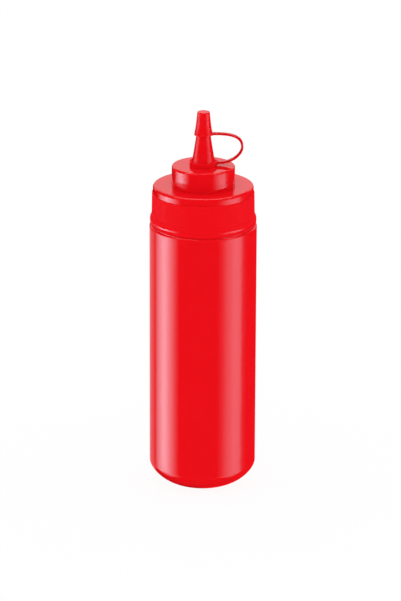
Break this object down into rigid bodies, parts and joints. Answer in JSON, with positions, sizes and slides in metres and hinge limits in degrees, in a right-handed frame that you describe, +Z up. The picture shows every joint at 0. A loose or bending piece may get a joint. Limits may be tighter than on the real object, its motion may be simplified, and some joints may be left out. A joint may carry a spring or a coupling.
{
  "type": "ketchup squeeze bottle",
  "caption": "Tall round squeeze bottle for ketchup with a stepped screw lid, a tapered pouring nozzle and a small nozzle cap held by a looped strap",
  "frame": {"origin": "centre of the bottle's base, on the surface that it stands on", "axes": "+Z up along the bottle's axis, +X towards the strap's loop, so that the front view looks along +Y"},
  "size_m": [0.07, 0.07, 0.2537],
  "materials": {
    "bottle_plastic": "glossy blow-moulded polyethylene, ketchup red, opaque",
    "lid_plastic": "glossy moulded polyethylene, ketchup red, with a fine matt band round the skirt",
    "cap_plastic": "soft glossy moulded polyethylene, ketchup red"
  },
  "bodies": {
    "root": {"bottle": "bottle_plastic", "screw_lid": "lid_plastic", "nozzle_cap": "cap_plastic"}
  },
  "joints": []
}
